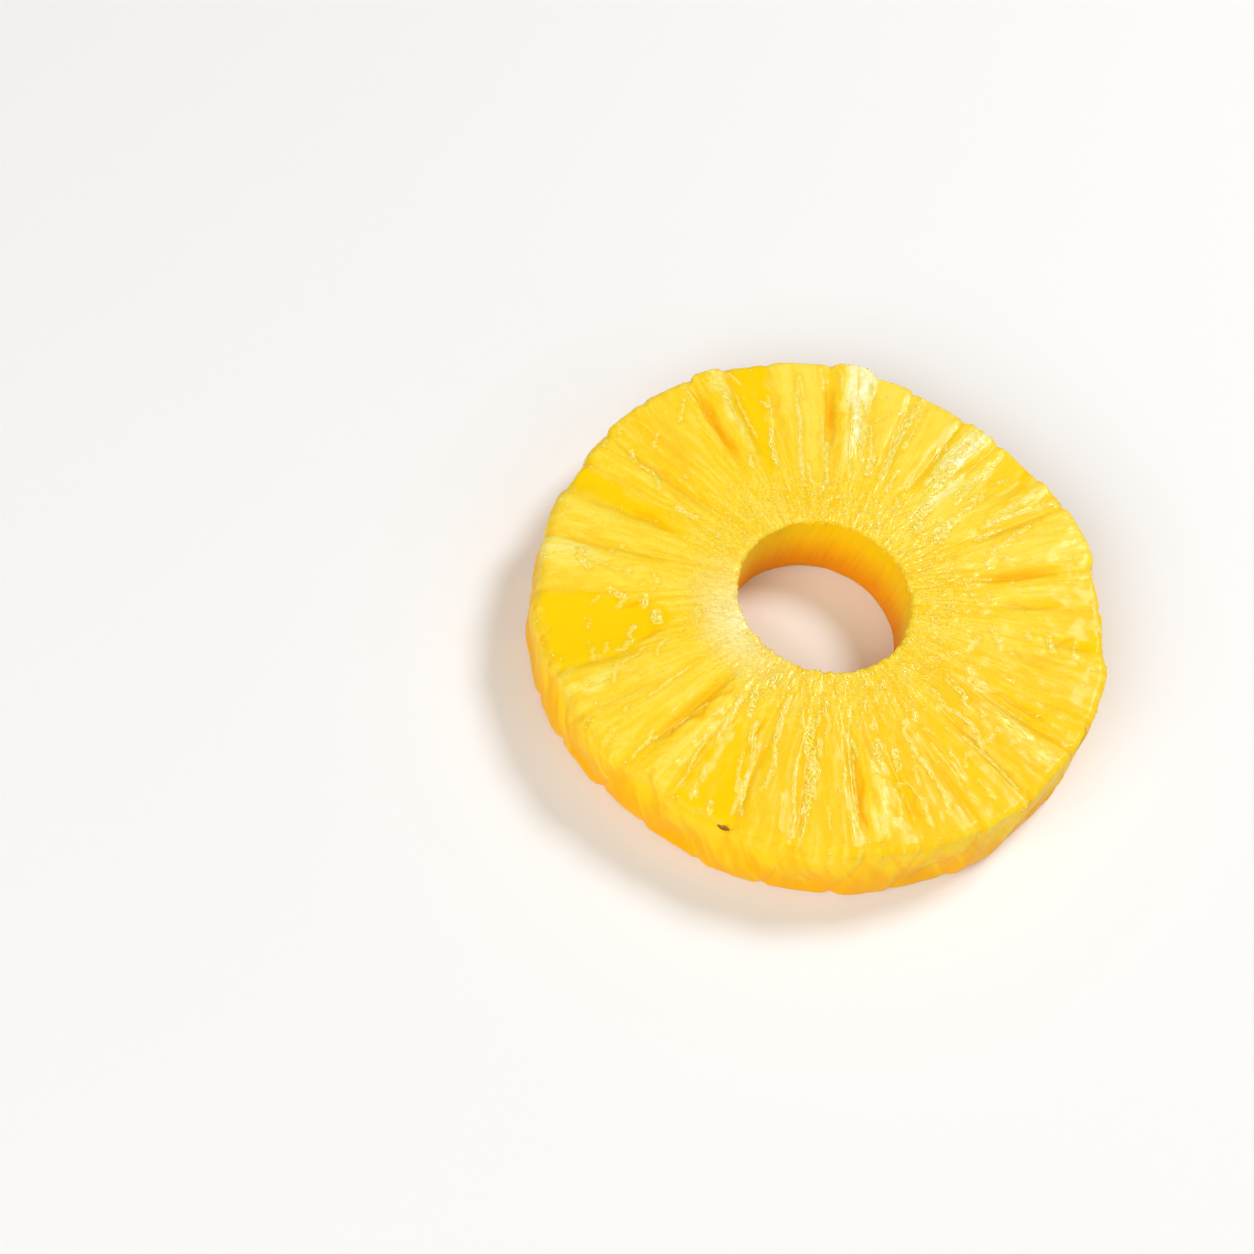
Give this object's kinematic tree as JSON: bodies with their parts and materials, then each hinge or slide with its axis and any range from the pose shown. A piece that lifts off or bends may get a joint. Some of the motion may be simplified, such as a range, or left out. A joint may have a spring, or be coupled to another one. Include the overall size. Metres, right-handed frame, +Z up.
{
  "type": "pineapple ring",
  "caption": "Thick round slice of peeled fresh pineapple with the core cut out, lying flat, with radial clefts, sunken juicy segments and a soft uneven rim.",
  "frame": {"origin": "under the middle of the hole, on the plane that the slice rests on", "axes": "+Z up through the hole, out of the cut face that is shown; +X to the right and +Y away from the viewer"},
  "size_m": [0.0863, 0.0877, 0.0132],
  "materials": {
    "pineapple_flesh": "moist juicy fruit flesh, glossy where juice stands on it"
  },
  "bodies": {
    "root": {"pineapple_ring": "pineapple_flesh"}
  },
  "joints": []
}
